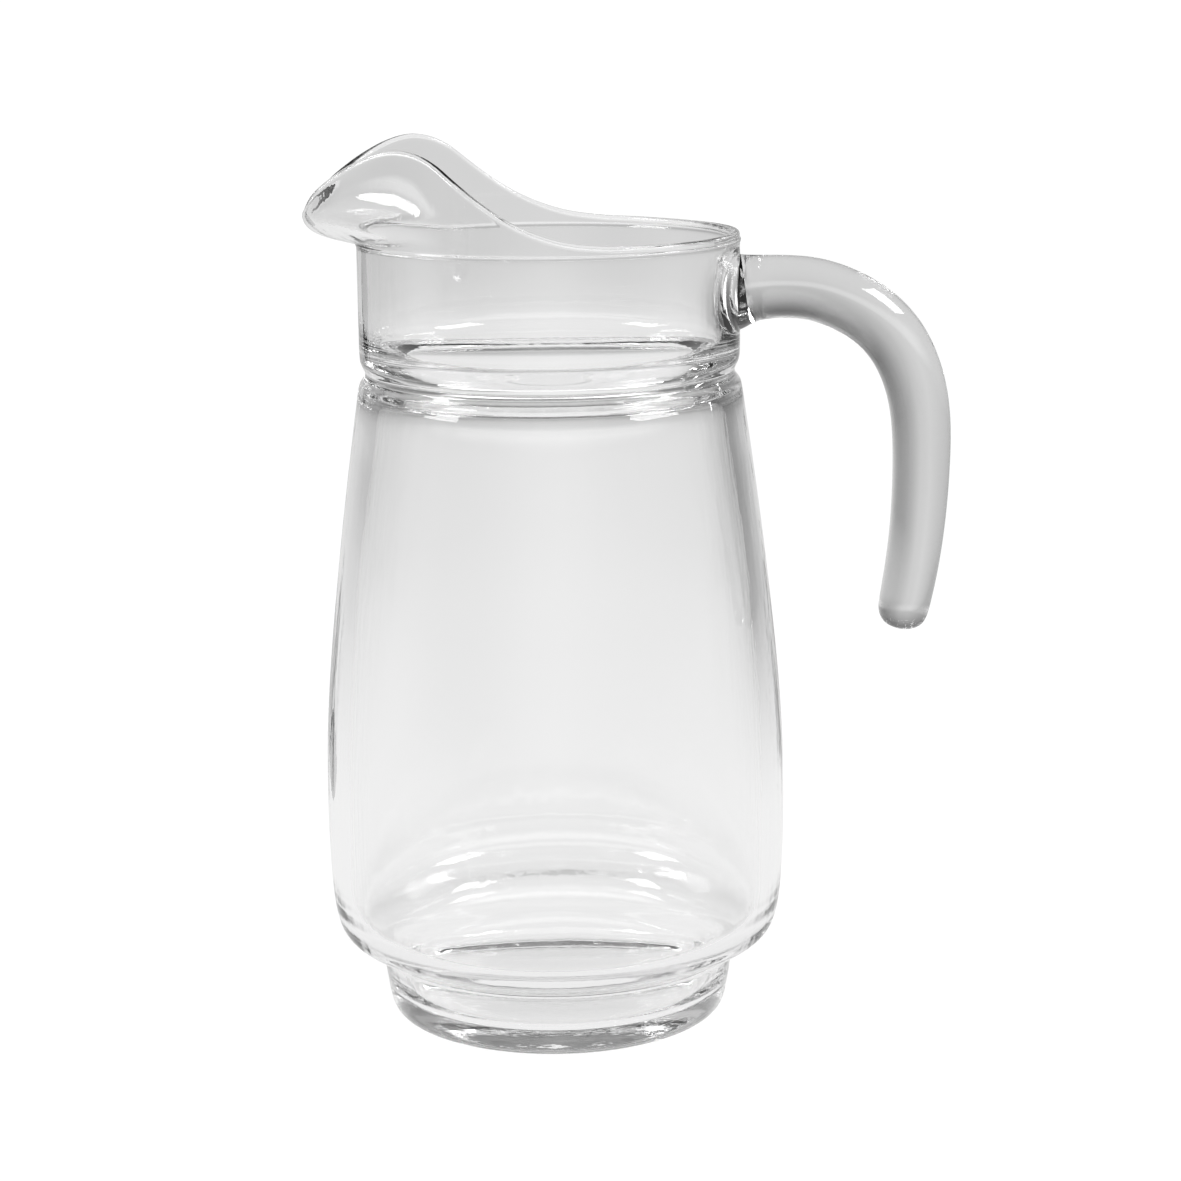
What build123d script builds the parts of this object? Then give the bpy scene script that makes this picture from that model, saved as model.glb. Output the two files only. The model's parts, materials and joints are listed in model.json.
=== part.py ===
"""Large glass water jug: a one-piece vessel with a flared spout, and a solid hook handle."""
import math
import os

from build123d import *

os.makedirs("parts", exist_ok=True)

# ---- driving sizes, mm --------------------------------------------------
# foot
rest_r = 46.5            # where the flat resting ring ends
foot_low_r = 51.2        # side of the foot, low down
foot_top_r = 53.8        # side of the foot under the belly
foot_h = 22.5
hollow_r = 40.0          # shallow hollow under the base
hollow_h = 2.0
foot_wall = 5.5          # side wall of the foot

# belly
belly_low_r = 66.8
belly_low_z = 29.5
ledge_z = 24.8           # the belly overhangs the foot in a nearly flat ledge
belly_r = 69.0
belly_z = 66.0
shoulder_r = 56.4
shoulder_z = 192.0
floor_r = 42.0
floor_z = 7.0
floor_rise = 0.6
belly_wall = 6.8

# throat between belly and neck
groove_r = 54.5
groove_z = 195.5
throat_r = 43.5
throat_z = 195.3

# neck and rim
neck_r = 56.0
neck_wall = 3.0
neck_low_z = 200.0
collar_z = 233.6         # mould line where the spout starts
rim_z = 236.0

# spout
lip_r = 56.4             # the rim stands this little step outside the neck
nose_reach = 71.4        # tip of the spout from the jug's axis
nose_r = 45.3            # plan radius of the spout's nose
nose_turn = 52.0         # degrees of arc each side of the nose
back_turn = 74.0         # degrees from -X where the round back takes over
nose_lift = 2.4          # the inside of the flare sits this much higher
flare_h = 8.6            # height over which the nose swings out and up
flare_turns = (0, 15, 30, 45, 60, 75, 90)
peak_x = -43.5           # the two wings are highest here
peak_z = 262.4
tip_z = 242.2

# handle
root_x = 66.0            # the flared root has become a rod here
root_z = 219.2
handle_x = 109.6         # centre line of the long drop
handle_end_z = 123.4
end_r = 7.6
# place along the hook, half thickness seen from the side, half width across
rod_sections = [(0.0, 9.1, 8.9), (0.35, 9.0, 8.6), (0.6, 8.5, 8.4), (1.0, end_r, end_r)]
# reach from the axis, height, half height and half width of the root
root_sections = [(50.0, 214.4, 15.6, 14.0), (56.5, 216.4, 12.4, 11.4), (60.5, 218.6, 9.9, 9.5), (root_x, root_z, 9.1, 8.9)]


def dome_mid(edge_r, edge_z, top_z):
    """Point halfway out on a shallow dome whose centre is on the jug's axis."""
    rise = top_z - edge_z
    ball_r = (rise ** 2 + edge_r ** 2) / (2 * rise)
    return edge_r / 2, top_z - ball_r + math.sqrt(ball_r ** 2 - edge_r ** 2 / 4)


# ---- foot, belly, throat and neck: one turned wall -----------------------
with BuildPart() as jug_body:
    with BuildSketch(Plane.XZ):
        with BuildLine():
            # outside, from the underside to the mould line
            under = ThreePointArc((0, hollow_h), dome_mid(hollow_r, 0.9, hollow_h), (hollow_r, 0.9))
            ring_in = ThreePointArc(under @ 1, (hollow_r + 0.9, 0.25), (hollow_r + 2.2, 0))
            ring = Line(ring_in @ 1, (rest_r, 0))
            heel = ThreePointArc(ring @ 1, (rest_r + 3.3, 1.3), (foot_low_r, 5.0))
            foot_side = Line(heel @ 1, (foot_top_r, foot_h - 1.0))
            foot_neck = ThreePointArc(foot_side @ 1, (foot_top_r + 0.5, foot_h + 0.7), (foot_top_r + 2.0, ledge_z - 0.9))
            under_belly = Line(foot_neck @ 1, (belly_low_r - 3.4, ledge_z))
            belly_turn = ThreePointArc(
                under_belly @ 1,
                (belly_low_r - 1.0, ledge_z + 1.6),
                (belly_low_r + 0.7, belly_low_z + 3.5),
            )
            belly_out = Spline(
                belly_turn @ 1,
                (68.6, 45.0),
                (belly_r, belly_z),
                (67.7, 100.0),
                (64.8, 130.0),
                (61.2, 160.0),
                (58.6, 176.5),
                (shoulder_r, shoulder_z),
            )
            groove_low = Line(belly_out @ 1, (groove_r, groove_z - 0.5))
            groove = Line(groove_low @ 1, (groove_r, groove_z + 0.5))
            groove_high = Line(groove @ 1, (neck_r - 0.3, neck_low_z - 1.5))
            neck_foot = Line(groove_high @ 1, (neck_r, neck_low_z))
            neck_out = Line(neck_foot @ 1, (neck_r, collar_z))
            top = Line(neck_out @ 1, (neck_r - neck_wall, collar_z))
            # inside, back down to the floor
            neck_in = Line(top @ 1, (neck_r - neck_wall, neck_low_z + 6.0))
            throat_up = ThreePointArc(
                neck_in @ 1,
                (neck_r - neck_wall - 2.0, neck_low_z + 1.4),
                (throat_r + 4.0, neck_low_z - 1.6),
            )
            throat = ThreePointArc(throat_up @ 1, (throat_r, throat_z), (throat_r + 3.0, throat_z - 3.6))
            belly_in = Spline(
                throat @ 1,
                (shoulder_r - 5.8, 186.5),
                (58.6 - belly_wall + 0.8, 176.5),
                (61.2 - belly_wall, 160.0),
                (64.8 - belly_wall, 130.0),
                (67.7 - belly_wall, 100.0),
                (belly_r - belly_wall, belly_z),
                (belly_r - belly_wall - 0.7, 44.0),
            )
            shoulder_in = ThreePointArc(belly_in @ 1, (59.4, 35.4), (53.4, 30.0))
            ledge_in = ThreePointArc(shoulder_in @ 1, (50.1, 27.0), (foot_top_r - foot_wall + 0.2, 22.0))
            foot_in = Line(ledge_in @ 1, (foot_top_r - foot_wall, 12.5))
            corner_in = ThreePointArc(foot_in @ 1, (46.6, 8.7), (floor_r, floor_z))
            ThreePointArc(corner_in @ 1, dome_mid(floor_r, floor_z, floor_z + floor_rise), (0, floor_z + floor_rise))
            Line((0, floor_z + floor_rise), (0, hollow_h))
        make_face()
    revolve(axis=Axis.Z)


# ---- spout and rim: a flared band, trimmed along the lip ------------------
def egg(height, reach, back_r, nose_radius):
    """Closed plan outline: a round back, and a nose that reaches out towards -X."""
    with BuildSketch(Plane.XY.offset(height)) as plan:
        with BuildLine():
            back = CenterArc((0, 0), back_r, back_turn - 180, 360 - 2 * back_turn)
            nose_x = nose_radius * (1 - math.cos(math.radians(nose_turn))) - reach
            nose_y = nose_radius * math.sin(math.radians(nose_turn))
            Spline(
                back @ 1,
                (nose_x, nose_y),
                (-reach, 0),
                (nose_x, -nose_y),
                back @ 0,
                tangents=[back % 1, back % 0],
            )
        make_face()
    return plan.sketch


def flare(turn):
    """Share of the flare that has been reached: how far out, and how far up."""
    return math.sin(math.radians(turn)), 1 - math.cos(math.radians(turn))


with BuildPart() as spout_core:
    add(egg(collar_z - 1.0, lip_r - neck_wall, lip_r - neck_wall, lip_r - neck_wall))
    for turn in flare_turns:
        out, up = flare(turn)
        add(egg(
            collar_z + nose_lift + flare_h * up,
            lip_r - neck_wall + (nose_reach - lip_r) * out,
            lip_r - neck_wall,
            lip_r - neck_wall + (nose_r - lip_r) * out,
        ))
    add(egg(peak_z + 4.0, nose_reach - neck_wall, lip_r - neck_wall, nose_r - neck_wall))
    loft(ruled=True)

with BuildPart() as spout:
    for turn in flare_turns:
        out, up = flare(turn)
        add(egg(
            collar_z + flare_h * up,
            lip_r + (nose_reach - lip_r) * out,
            lip_r,
            lip_r + (nose_r - lip_r) * out,
        ))
    add(egg(peak_z + 1.5, nose_reach, lip_r, nose_r))
    loft(ruled=True)
    add(spout_core.part, mode=Mode.SUBTRACT)
    # everything above the line of the lip is cut away
    with BuildSketch(Plane.XZ.offset(-neck_r - 20)):
        with BuildLine():
            lip = Spline(
                (-nose_reach - 1.5, tip_z - 3.0),
                (-nose_reach + 0.6, tip_z + 1.6),
                (-67.7, 248.6),
                (-58.7, 256.5),
                (-50.0, 261.0),
                (peak_x, peak_z),
                (-37.0, 261.2),
                (-26.0, 253.2),
                (-11.0, 243.4),
                (4.0, 237.4),
                (22.0, rim_z),
            )
            Polyline(
                lip @ 1,
                (neck_r + 5, rim_z),
                (neck_r + 5, peak_z + 10),
                (-nose_reach - 10, peak_z + 10),
                (-nose_reach - 10, tip_z - 3.0),
                lip @ 0,
            )
        make_face()
    extrude(amount=2 * neck_r + 40, mode=Mode.SUBTRACT)

with jug_body:
    add(spout.part)

# ---- handle: a solid hook fused to the neck by a flared root --------------
with BuildPart() as jug_handle:
    with BuildLine(Plane.XZ) as hook:
        Spline(
            (root_x, root_z),
            (78.0, 218.0),
            (89.0, 213.2),
            (97.2, 208.0),
            (103.6, 199.6),
            (107.8, 189.0),
            (handle_x, 174.0),
            (handle_x, 160.0),
            (108.4, 143.0),
            (106.6, 132.0),
            (104.9, handle_end_z),
        )
    for place, thick, wide in rod_sections:
        with BuildSketch(hook.line ^ place):
            Ellipse(thick, wide)
    sweep(path=hook.line, multisection=True)
    with Locations(hook.line @ 1):
        Sphere(end_r)
    # flared root
    for reach, height, tall, wide in root_sections:
        with BuildSketch(Plane(origin=(reach, 0, height), x_dir=(0, 1, 0), z_dir=(1, 0, 0))):
            Ellipse(wide, tall)
    loft()
    with Locations((0, 0, collar_z - 40)):
        Cylinder(neck_r, 120, mode=Mode.SUBTRACT)

jug_body.part.label = "jug_body"
jug_handle.part.label = "jug_handle"
export_step(jug_body.part, "parts/jug_body.step")
export_step(jug_handle.part, "parts/jug_handle.step")
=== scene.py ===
import json
import math

import bpy
import numpy as np
from mathutils import Matrix, Vector

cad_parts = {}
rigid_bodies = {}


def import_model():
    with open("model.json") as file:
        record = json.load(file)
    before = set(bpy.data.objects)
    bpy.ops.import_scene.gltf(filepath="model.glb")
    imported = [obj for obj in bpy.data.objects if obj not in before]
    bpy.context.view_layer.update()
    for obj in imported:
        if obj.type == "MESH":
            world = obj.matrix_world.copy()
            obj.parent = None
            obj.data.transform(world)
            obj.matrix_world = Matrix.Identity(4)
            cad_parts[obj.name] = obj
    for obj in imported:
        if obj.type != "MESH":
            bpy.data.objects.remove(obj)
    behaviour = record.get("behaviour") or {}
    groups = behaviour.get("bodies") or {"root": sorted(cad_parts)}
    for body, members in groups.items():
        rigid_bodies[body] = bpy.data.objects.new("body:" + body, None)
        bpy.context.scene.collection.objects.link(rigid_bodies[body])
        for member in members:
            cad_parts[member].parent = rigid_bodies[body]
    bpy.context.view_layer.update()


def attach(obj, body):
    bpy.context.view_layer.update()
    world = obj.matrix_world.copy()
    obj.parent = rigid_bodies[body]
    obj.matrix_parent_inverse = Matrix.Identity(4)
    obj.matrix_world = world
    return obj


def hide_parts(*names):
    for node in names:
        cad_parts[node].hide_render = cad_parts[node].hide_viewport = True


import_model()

MM = 0.001

# ---------------------------------------------------------------- camera
CAMERA_AT = (0.0112, -0.860, 0.313)
CAMERA_LENS = 89.45
CAMERA_DOWN = 12.096             # degrees below level
CAMERA_ROLL = -0.6456            # degrees


def place_camera():
    """Long lens a little above the rim, looking slightly down on the jug."""
    bpy.ops.object.camera_add(location=CAMERA_AT)
    camera = bpy.context.object
    camera.name = "studio_camera"
    camera.data.lens = CAMERA_LENS
    camera.data.sensor_width = 36.0
    camera.data.clip_start = 0.05
    tilt = Matrix.Rotation(math.radians(90 - CAMERA_DOWN), 4, "X")
    roll = Matrix.Rotation(math.radians(CAMERA_ROLL), 4, "Z")
    camera.matrix_world = Matrix.Translation(camera.location) @ tilt @ roll
    bpy.context.scene.camera = camera


# ---------------------------------------------------------------- helpers
def only(piece):
    """Make one piece the only one selected, and active."""
    for other in bpy.context.view_layer.objects:
        other.select_set(False)
    piece.select_set(True)
    bpy.context.view_layer.objects.active = piece


def drawn_line(name, points, per_span=3):
    """Mesh wire along a smooth curve pulled by the given control points (mm)."""
    bpy.ops.object.select_all(action="DESELECT")
    bpy.ops.curve.primitive_nurbs_path_add()
    wire = bpy.context.object
    wire.name = name
    spline = wire.data.splines[0]
    spline.points.add(len(points) - len(spline.points))
    for knot, (x, z) in zip(spline.points, points):
        knot.co = (x * MM, 0, z * MM, 1)
    spline.order_u = 4
    spline.use_endpoint_u = True
    spline.resolution_u = per_span
    bpy.ops.object.convert(target="MESH")
    return bpy.context.object


# ---------------------------------------------------------------- vessel
# all sizes of the vessel are in millimetres: distance from the middle line, then height
TURNS = 240                      # steps round the jug
COLLAR = 233.6                   # mould line, where the spout starts
NECK = 56.0
WALL = 3.0
BLANK = 12.0                     # height of the straight blank above the mould line
STRAIGHT = 0.5                   # this much of it stays straight
THROAT_TOP = 199                 # height where the neck begins above the throat
NOSE_RADIUS = 45.3               # plan of the spout's round nose
NOSE_CENTRE = 26.1               # and how far its centre is from the middle line
NOSE_BLEND = 1.3                 # softness of the join of nose and neck
FLARE_RISE = 8.2                 # height over which the nose swings out
SPOUT_STEPS = 200                # steps from the mould line up to the lip
WELD_SWELL = 2.4                 # glass pushed inwards behind the handle
WELD_WIDTH = 0.34                # and how far round it spreads (radians)

OUTSIDE = [
    (0, 1.6), (8, 1.6), (20, 1.6), (30, 1.5), (36, 1.2), (40, 0.5), (42.4, 0.05), (44, -0.02),
    (46.4, 0.0), (48.8, 0.3), (50.6, 1.8), (51.5, 4.8), (52.3, 9.5), (52.9, 13.6), (53.4, 16.8),
    (54.0, 19.2), (55.6, 21.2), (58.8, 22.8), (62.2, 24.2), (65.0, 26.0), (66.7, 29.2),
    (67.7, 34.0), (68.3, 40), (68.7, 47), (69.0, 56), (69.1, 66), (68.9, 82), (67.8, 100),
    (66.3, 116), (64.5, 132), (62.6, 148), (60.6, 163), (58.9, 175), (57.5, 184.5), (56.7, 190.0),
    (56.2, 192.8), (54.7, 194.0), (54.3, 195.3), (54.6, 196.8), (55.6, 198.2), (56.0, 200.4),
    (56.0, 205), (56.0, 212), (56.0, 220), (56.0, 227),
]
RIM = [
    (56.0, 231), (56.0, 232.2), (56.05, 232.9), (56.32, 233.3), (56.32, 233.8), (56.02, 234.1),
    (56.0, 234.3), (56.0, 235.6), (56.0, 237), (56.0, 239), (56.0, 241), (56.0, 243), (56.0, 245),
    (56.0, 246.2), (55.75, 247.0), (55.0, 247.35), (54.0, 247.35), (53.25, 247.0), (53.0, 246.2),
    (53.0, 245), (53.0, 243), (53.0, 241), (53.0, 239), (53.0, 237), (53.0, 235.6), (53.0, 234.3),
    (53.0, 233), (53.0, 231),
]
INSIDE = [
    (53.0, 226), (53.0, 220), (53.0, 213), (52.9, 207.5), (52.4, 204.2), (51.0, 201.9),
    (48.8, 200.4), (46.6, 199.0), (44.7, 197.3), (43.6, 195.9), (43.3, 194.9), (43.9, 193.8),
    (45.8, 192.4), (48.6, 190.4), (50.6, 187.2), (51.6, 181.5), (52.6, 174), (53.8, 166),
    (55.6, 154), (57.8, 138), (59.8, 120), (61.4, 100), (62.2, 82), (62.3, 66), (62.1, 53),
    (62.0, 43), (61.5, 35.6), (59.7, 30.6), (56.2, 27.7), (52.9, 25.5), (50.6, 22.6), (49.4, 18.8),
    (48.6, 15.0), (47.8, 11.0), (46.0, 8.2), (42.4, 6.8), (36, 6.3), (28, 6.2), (18, 6.3), (8, 6.5),
    (0, 6.5),
]

# turn from the spout (degrees) and height of the lip there
LIP_TURN = [0, 8, 16, 24, 32, 38, 44.5, 50, 56, 62, 70, 78, 86, 95, 105, 120, 180]
LIP_HEIGHT = [
    242.2, 244.6, 249.3, 253.8, 258.2, 260.9, 262.3, 261.4, 258.6,
    254.4, 248.8, 244.0, 240.4, 237.7, 236.4, 236.0, 236.0,
]


def eased(x, xs, ys):
    """Smooth rise and fall through the given heights."""
    xs, ys = np.asarray(xs, float), np.asarray(ys, float)
    slope = np.gradient(ys, xs)
    slope[0] = slope[-1] = 0.0
    k = np.clip(np.searchsorted(xs, x) - 1, 0, len(xs) - 2)
    span = xs[k + 1] - xs[k]
    t = (x - xs[k]) / span
    return ((2 * t**3 - 3 * t**2 + 1) * ys[k] + (t**3 - 2 * t**2 + t) * span * slope[k]
            + (-2 * t**3 + 3 * t**2) * ys[k + 1] + (t**3 - t**2) * span * slope[k + 1])


def plan_radius(turn):
    """Plan of the lip: a round nose let into the round of the neck."""
    nose = NOSE_CENTRE * np.cos(turn) + np.sqrt(NOSE_RADIUS**2 - (NOSE_CENTRE * np.sin(turn))**2)
    return NECK + NOSE_BLEND * np.log1p(np.exp((nose - NECK) / NOSE_BLEND))


def spout_path(turn):
    """Middle of the glass at one turn, from below the mould line up to the lip: (out, height) rows."""
    reach = plan_radius(turn) - NECK
    lip = eased(abs(math.degrees(turn)), LIP_TURN, LIP_HEIGHT) - WALL / 2
    height = lip - COLLAR - STRAIGHT
    rise = min(FLARE_RISE, height) + 0.7 * max(0.0, height - FLARE_RISE)
    pulls = np.array([
        (0, 0.0), (0, 0.03), (0.03, 0.10), (0.24, 0.18),
        (0.56, 0.32), (0.84, 0.56), (0.97, 0.81), (1.0, 1.0),
    ])
    out, up = pulls[:, 0] * reach, STRAIGHT + pulls[:, 1] * rise
    spare = max(0.0, height - rise)
    out = np.concatenate([out, [reach] * 3])
    up = np.concatenate([up, STRAIGHT + rise + spare * np.array([0.33, 0.66, 1.0])])
    for _ in range(4):           # corner cutting to a smooth line
        out, up = cut_corners(out), cut_corners(up)
    return NECK - WALL / 2 + out, COLLAR + up


def cut_corners(row):
    """Twice as many points along the same line, with its corners rounded a little."""
    fine = np.empty(2 * len(row) - 1)
    fine[0::2] = row
    fine[1::2] = (row[1:] + row[:-1]) / 2
    fine[2:-2:2] = (fine[1:-3:2] + 2 * fine[2:-2:2] + fine[3:-1:2]) / 4
    return fine


def spout_middle(steps, sides):
    """Grid of points on the middle of the spout's glass: sides round, steps from mould line to lip."""
    grid = np.empty((sides, steps + 1, 3))
    for j in range(sides):
        turn = 2 * math.pi * j / sides          # from the handle side round
        from_spout = abs(math.pi - turn)
        r, z = spout_path(from_spout)
        along = np.concatenate([[0], np.cumsum(np.hypot(np.diff(r), np.diff(z)))])
        at = np.linspace(0, along[-1], steps + 1)
        r, z = np.interp(at, along, r), np.interp(at, along, z)
        grid[j, :, 0], grid[j, :, 1], grid[j, :, 2] = r * math.cos(turn), r * math.sin(turn), z
    return grid


def pull_spout(mesh):
    """Draw the straight blank above the neck out into rim and spout, keeping the wall's thickness."""
    start = COLLAR + STRAIGHT
    grid = spout_middle(SPOUT_STEPS, TURNS)
    along = np.gradient(grid, axis=1)
    around = np.roll(grid, -1, axis=0) - np.roll(grid, 1, axis=0)
    facing = np.cross(around, along)
    facing /= np.linalg.norm(facing, axis=2, keepdims=True)
    upward = along / np.linalg.norm(along, axis=2, keepdims=True)
    top = COLLAR + BLANK
    for vertex in mesh.vertices:
        x, y, z = vertex.co / MM
        if THROAT_TOP < z < start and x > 0 and math.hypot(x, y) < NECK - WALL / 2:
            swell = WELD_SWELL * math.exp(-(math.atan2(y, x) / WELD_WIDTH)**2)
            swell *= math.sin(math.pi * (z - THROAT_TOP) / (start - THROAT_TOP))**2
            vertex.co *= 1 - swell / math.hypot(x, y)
            vertex.co.z = z * MM
        if z <= start:
            continue
        j = int(round(math.atan2(y, x) / (2 * math.pi) * TURNS)) % TURNS
        off = math.hypot(x, y) - (NECK - WALL / 2)
        part = min(1.0, (z - start) / (top - start)) * SPOUT_STEPS
        low = min(int(part), SPOUT_STEPS - 1)
        t = part - low
        middle = grid[j, low] * (1 - t) + grid[j, low + 1] * t
        normal = facing[j, low] * (1 - t) + facing[j, low + 1] * t
        up = upward[j, low] * (1 - t) + upward[j, low + 1] * t
        normal = normal / np.linalg.norm(normal)
        past = max(0.0, z - top)
        vertex.co = Vector(middle + normal * off + up * past) * MM


def make_vessel():
    """Turned glass wall, then the spout pulled from its neck."""
    wall = drawn_line("vessel", OUTSIDE + RIM + INSIDE)
    only(wall)
    bpy.ops.object.mode_set(mode="EDIT")
    bpy.ops.mesh.select_all(action="SELECT")
    bpy.ops.mesh.spin(steps=TURNS, angle=2 * math.pi, center=(0, 0, 0), axis=(0, 0, 1))
    bpy.ops.mesh.select_all(action="SELECT")
    bpy.ops.mesh.remove_doubles(threshold=2e-6)
    bpy.ops.mesh.normals_make_consistent(inside=False)
    bpy.ops.object.mode_set(mode="OBJECT")
    pull_spout(wall.data)
    only(wall)
    bpy.ops.object.shade_smooth()
    return wall


# ---------------------------------------------------------------- handle
# x, z, radius along the hook (mm)
HOOK = [
    (54.0, 218.3, 12.6), (54.8, 218.3, 12.0), (56.0, 218.35, 11.2), (57.6, 218.6, 10.3),
    (60.2, 218.95, 9.65), (64.6, 219.25, 9.25), (70.6, 219.3, 9.15), (78.0, 218.6, 9.15),
    (85.0, 216.2, 9.2), (91.5, 212.9, 9.2), (97.6, 208.4, 9.2), (102.8, 202.2, 9.1),
    (106.6, 194.4, 9.0), (109.0, 185.4, 8.85), (109.9, 176.0, 8.7), (109.9, 166.0, 8.5),
    (109.5, 155.0, 8.3), (108.6, 144.0, 8.1), (107.2, 134.0, 7.95), (105.8, 126.4, 7.75),
    (105.0, 122.4, 7.6), (104.5, 119.6, 7.0), (104.1, 117.7, 5.6), (103.9, 116.5, 3.4),
    (103.8, 116.0, 0.3),
]


def make_handle():
    """Rod swept along the hook, thicker where it flares into the neck."""
    bpy.ops.object.select_all(action="DESELECT")
    bpy.ops.curve.primitive_nurbs_path_add()
    rod = bpy.context.object
    rod.name = "handle"
    spline = rod.data.splines[0]
    spline.points.add(len(HOOK) - len(spline.points))
    for knot, (x, z, radius) in zip(spline.points, HOOK):
        knot.co = (x * MM, 0, z * MM, 1)
        knot.radius = radius
    spline.order_u = 4
    spline.use_endpoint_u = True
    spline.resolution_u = 8
    rod.data.bevel_depth = MM
    rod.data.bevel_resolution = 22
    rod.data.use_fill_caps = True
    rod.data.twist_mode = "MINIMUM"
    bpy.ops.object.convert(target="MESH")
    rod = bpy.context.object
    only(rod)
    bpy.ops.object.mode_set(mode="EDIT")
    bpy.ops.mesh.select_all(action="SELECT")
    bpy.ops.mesh.remove_doubles(threshold=1e-5)
    bpy.ops.mesh.normals_make_consistent(inside=False)
    bpy.ops.object.mode_set(mode="OBJECT")
    bpy.ops.object.shade_smooth()
    return rod


def weld(vessel, handle):
    """Melt the rod into the neck as one skin, then part them along the weld with no film inside."""
    for piece in (vessel, handle):
        material = bpy.data.materials.new("part_" + piece.name)
        piece.data.materials.clear()
        piece.data.materials.append(material)
    only(vessel)
    join = vessel.modifiers.new("melt", "BOOLEAN")
    join.operation = "UNION"
    join.object = handle
    join.solver = "EXACT"
    join.material_mode = "TRANSFER"
    bpy.ops.object.modifier_apply(modifier="melt")
    bpy.data.objects.remove(handle)
    only(vessel)
    bpy.ops.object.mode_set(mode="EDIT")
    bpy.ops.mesh.select_all(action="SELECT")
    bpy.ops.mesh.separate(type="MATERIAL")
    bpy.ops.object.mode_set(mode="OBJECT")
    parts = {}
    for part in bpy.context.selected_objects:
        name = part.data.materials[part.data.polygons[0].material_index].name
        parts[name] = part
    vessel, handle = parts["part_vessel"], parts["part_handle"]
    handle.name, vessel.name = "handle", "vessel"
    return vessel, handle


# ---------------------------------------------------------------- materials
# the body's faint tint is the glass's own; the handle's much darker tint is painted shade for the grey the
# solid rod shows
GLASS_TINTS_AND_HANDLE_SHADE = {"jug_body": (0.985, 0.985, 0.985), "jug_handle": (0.76, 0.76, 0.76)}
GLASS_IOR = 1.5
DRAW_LINES = 0.00008             # height of the long ripples left by drawing and blowing (m)
MOTTLE = 0.00001                 # height of the fine chill marks (m)


def clear_glass(name, tint_and_shade):
    """Clear glass with faint upright draw lines and fine mottle."""
    material = bpy.data.materials.new(name)
    material.use_nodes = True
    nodes, links = material.node_tree.nodes, material.node_tree.links
    glass = nodes["Principled BSDF"]
    # base colour: the glass's own faint tint, and for the handle also painted shade
    glass.inputs["Base Color"].default_value = (*tint_and_shade, 1)
    glass.inputs["Roughness"].default_value = 0.0
    glass.inputs["IOR"].default_value = GLASS_IOR
    glass.inputs["Transmission Weight"].default_value = 1.0
    place = nodes.new("ShaderNodeTexCoord")
    stretch = nodes.new("ShaderNodeMapping")
    stretch.inputs["Scale"].default_value = (1.0, 1.0, 0.12)
    draw = nodes.new("ShaderNodeTexNoise")
    draw.inputs["Scale"].default_value = 110.0
    draw.inputs["Detail"].default_value = 3.0
    draw.inputs["Roughness"].default_value = 0.55
    chill = nodes.new("ShaderNodeTexNoise")
    chill.inputs["Scale"].default_value = 240.0
    chill.inputs["Detail"].default_value = 2.0
    lines = nodes.new("ShaderNodeBump")
    lines.inputs["Strength"].default_value = 1.0
    lines.inputs["Distance"].default_value = DRAW_LINES
    mottle = nodes.new("ShaderNodeBump")
    mottle.inputs["Strength"].default_value = 1.0
    mottle.inputs["Distance"].default_value = MOTTLE
    links.new(place.outputs["Object"], stretch.inputs["Vector"])
    links.new(stretch.outputs["Vector"], draw.inputs["Vector"])
    links.new(place.outputs["Object"], chill.inputs["Vector"])
    links.new(draw.outputs[0], lines.inputs["Height"])
    links.new(chill.outputs[0], mottle.inputs["Height"])
    links.new(lines.outputs["Normal"], mottle.inputs["Normal"])
    links.new(mottle.outputs["Normal"], glass.inputs["Normal"])
    return material


# ---------------------------------------------------------------- studio
# ramps are (place, brightness) stops; they set what the glass sees, not what the eye sees
CORNER_STOPS = [(0.0, 0.80), (0.5, 1.0), (0.72, 0.90), (0.92, 0.60), (1.0, 0.45)]
FLOOR_STOPS = [(0.0, 0.89), (0.24, 0.89), (0.40, 0.86), (0.55, 0.82), (0.70, 0.77), (1.0, 0.70)]
FLOOR_CORNERS = [(0.25, 0.0), (0.8, 1.0)]
HEIGHT_STOPS = [
    (0.0, 0.9), (0.46, 0.69), (0.50, 0.63), (0.57, 0.50), (0.62, 0.40), (0.68, 0.28),
    (0.76, 0.16), (0.90, 0.14), (1.0, 0.30),
]
BAND_STOPS = [(0.12, 0.0), (0.22, 1.0), (0.36, 1.0), (0.5, 0.0)]
FRONT_STOPS = [(0.0, 0.0), (0.55, 1.0)]
FRONT_BAND = 2.2                 # brightness of the broad soft window behind the camera
FLOOR_RADIUS = 2.4
LAMP_AIM = (0, 0, 0.1)


def set_ramp(ramp, stops):
    """Grey stops: (place, brightness)."""
    while len(ramp.color_ramp.elements) < len(stops):
        ramp.color_ramp.elements.new(0.5)
    for stop, (place, grey) in zip(ramp.color_ramp.elements, stops):
        stop.position = place
        stop.color = (grey, grey, grey, 1)


def calc(tree, operation, first, second=None, third=None):
    """One arithmetic node; each input is a socket or a number."""
    node = tree.nodes.new("ShaderNodeMath")
    node.operation = operation
    for socket, value in zip(node.inputs, (first, second, third)):
        if value is None:
            continue
        if isinstance(value, (int, float)):
            socket.default_value = value
        else:
            tree.links.new(value, socket)
    return node.outputs[0]


def ramp_of(tree, value, stops):
    ramp = tree.nodes.new("ShaderNodeValToRGB")
    set_ramp(ramp, stops)
    tree.links.new(value, ramp.inputs[0])
    return ramp.outputs[0]


def corner_shade(tree, x, y):
    """The room dims towards its corners, most on the right behind the jug and the left in front."""
    square = calc(tree, "ADD", calc(tree, "MULTIPLY", x, x), calc(tree, "MULTIPLY", y, y))
    across = calc(tree, "DIVIDE", calc(tree, "MULTIPLY", x, y), calc(tree, "MAXIMUM", square, 1e-6))
    return ramp_of(tree, calc(tree, "ADD", across, 0.5), CORNER_STOPS)


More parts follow.
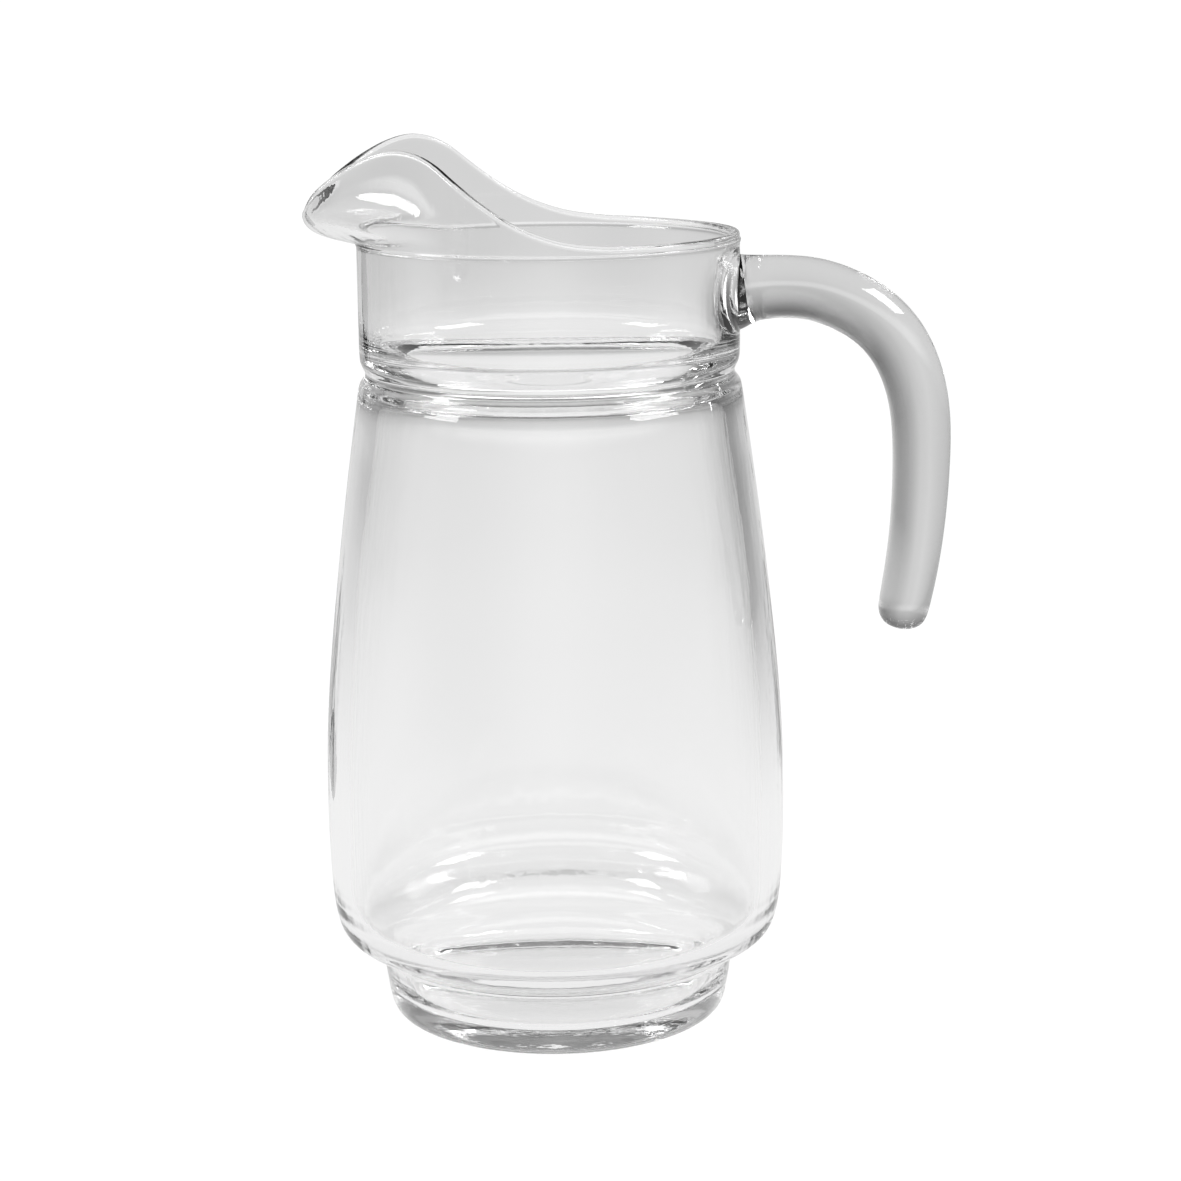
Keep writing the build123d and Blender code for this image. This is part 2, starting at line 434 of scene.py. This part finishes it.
def make_floor():
    """Pale floor. It looks white itself; what shows through the glass dims gently with distance."""
    bpy.ops.mesh.primitive_circle_add(vertices=128, radius=FLOOR_RADIUS, fill_type="NGON")
    floor = bpy.context.object
    floor.name = "floor"
    material = bpy.data.materials.new("pale_floor")
    material.use_nodes = True
    tree = material.node_tree
    tree.nodes.clear()
    place = tree.nodes.new("ShaderNodeTexCoord")
    split = tree.nodes.new("ShaderNodeSeparateXYZ")
    tree.links.new(place.outputs["Object"], split.inputs[0])
    x, y = split.outputs["X"], split.outputs["Y"]
    away = calc(tree, "SQRT", calc(tree, "ADD", calc(tree, "MULTIPLY", x, x), calc(tree, "MULTIPLY", y, y)))
    near = ramp_of(tree, calc(tree, "DIVIDE", away, FLOOR_RADIUS), FLOOR_STOPS)
    far = ramp_of(tree, away, FLOOR_CORNERS)
    shade = corner_shade(tree, x, y)
    dim = calc(tree, "MULTIPLY_ADD", calc(tree, "SUBTRACT", shade, 1.0), far, 1.0)
    glow = tree.nodes.new("ShaderNodeEmission")
    tree.links.new(calc(tree, "MULTIPLY", near, dim), glow.inputs["Color"])
    white = tree.nodes.new("ShaderNodeEmission")
    white.inputs["Strength"].default_value = 0.965
    paint = tree.nodes.new("ShaderNodeBsdfDiffuse")
    paint.inputs["Color"].default_value = (0.12, 0.12, 0.12, 1)
    both = tree.nodes.new("ShaderNodeAddShader")
    tree.links.new(white.outputs[0], both.inputs[0])
    tree.links.new(paint.outputs[0], both.inputs[1])
    seen_or_through(tree, both.outputs[0], glow.outputs[0], "ShaderNodeOutputMaterial")
    floor.data.materials.append(material)


def seen_or_through(tree, seen, through, output):
    """One shader for what is looked at straight, another for what shows in the glass."""
    path = tree.nodes.new("ShaderNodeLightPath")
    mix = tree.nodes.new("ShaderNodeMixShader")
    out = tree.nodes.new(output)
    tree.links.new(path.outputs["Is Camera Ray"], mix.inputs[0])
    tree.links.new(through, mix.inputs[1])
    tree.links.new(seen, mix.inputs[2])
    tree.links.new(mix.outputs[0], out.inputs["Surface"])


def make_light():
    """White surround for the eye; the glass sees a pale horizon under a darker ceiling, and a front window."""
    world = bpy.data.worlds.new("studio")
    bpy.context.scene.world = world
    world.use_nodes = True
    tree = world.node_tree
    tree.nodes.clear()
    seen = tree.nodes.new("ShaderNodeBackground")
    seen.inputs["Strength"].default_value = 1.05
    seen.inputs["Color"].default_value = (1, 1, 1, 1)
    place = tree.nodes.new("ShaderNodeTexCoord")
    split = tree.nodes.new("ShaderNodeSeparateXYZ")
    tree.links.new(place.outputs["Generated"], split.inputs[0])
    height = ramp_of(tree, calc(tree, "MULTIPLY_ADD", split.outputs["Z"], 0.5, 0.5), HEIGHT_STOPS)
    shade = corner_shade(tree, split.outputs["X"], split.outputs["Y"])
    band = ramp_of(tree, split.outputs["Z"], BAND_STOPS)
    front = ramp_of(tree, calc(tree, "MULTIPLY", split.outputs["Y"], -1.0), FRONT_STOPS)
    window = calc(tree, "MULTIPLY", calc(tree, "MULTIPLY", band, front), FRONT_BAND)
    through = tree.nodes.new("ShaderNodeBackground")
    tree.links.new(calc(tree, "MULTIPLY_ADD", height, shade, window), through.inputs["Color"])
    seen_or_through(tree, seen.outputs[0], through.outputs[0], "ShaderNodeOutputWorld")


def soft_box(name, place, size, power):
    """Rectangular window lamp turned towards the middle of the jug."""
    bpy.ops.object.light_add(type="AREA", location=place)
    lamp = bpy.context.object
    lamp.name = name
    lamp.data.shape = "RECTANGLE"
    lamp.data.size, lamp.data.size_y = size
    lamp.data.energy = power
    toward = Vector(LAMP_AIM) - Vector(place)
    lamp.rotation_euler = toward.to_track_quat("-Z", "Y").to_euler()


# name, centre (m), size (m) of small dark cards that put darker lines into the edges of the glass
DARK_CARDS = [
    ("card_belly_left", (-0.134, 0.101, 0.049), (0.040, 0.036)),
    ("card_neck_left", (-0.131, 0.094, 0.202), (0.034, 0.046)),
]


def dark_card(name, place, size):
    """Small dark disc turned towards the jug; only the shine of the glass picks it up."""
    bpy.ops.mesh.primitive_circle_add(vertices=48, radius=0.5, fill_type="NGON", location=place)
    card = bpy.context.object
    card.name = name
    card.scale = (*size, 1)
    card.rotation_euler = Vector((-place[0], -place[1], 0)).to_track_quat("Z", "Y").to_euler()
    material = bpy.data.materials.new(name)
    material.use_nodes = True
    tree = material.node_tree
    tree.nodes["Principled BSDF"].inputs["Base Color"].default_value = (0.03, 0.03, 0.03, 1)
    tree.nodes["Principled BSDF"].inputs["Roughness"].default_value = 0.9
    card.data.materials.append(material)
    card.visible_camera = False
    card.visible_shadow = False
    card.visible_transmission = False


scene = bpy.context.scene
scene.view_settings.view_transform = "Standard"
place_camera()
make_floor()
make_light()
soft_box("window_left", (-1.12, -0.16, 1.23), (0.6, 0.5), 9)
soft_box("window_right", (1.12, -0.20, 1.20), (0.8, 0.45), 11)
for name, place, size in DARK_CARDS:
    dark_card(name, place, size)
scene.cycles.max_bounces = 32
scene.cycles.transmission_bounces = 32
scene.cycles.glossy_bounces = 16

vessel, handle = weld(make_vessel(), make_handle())
for piece, node in ((vessel, "jug_body"), (handle, "jug_handle")):
    glass = clear_glass(node + "_glass", GLASS_TINTS_AND_HANDLE_SHADE[node])
    piece.data.materials.clear()
    piece.data.materials.append(glass)
    piece.data.polygons.foreach_set("material_index", [0] * len(piece.data.polygons))
    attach(piece, "root")
    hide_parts(node)
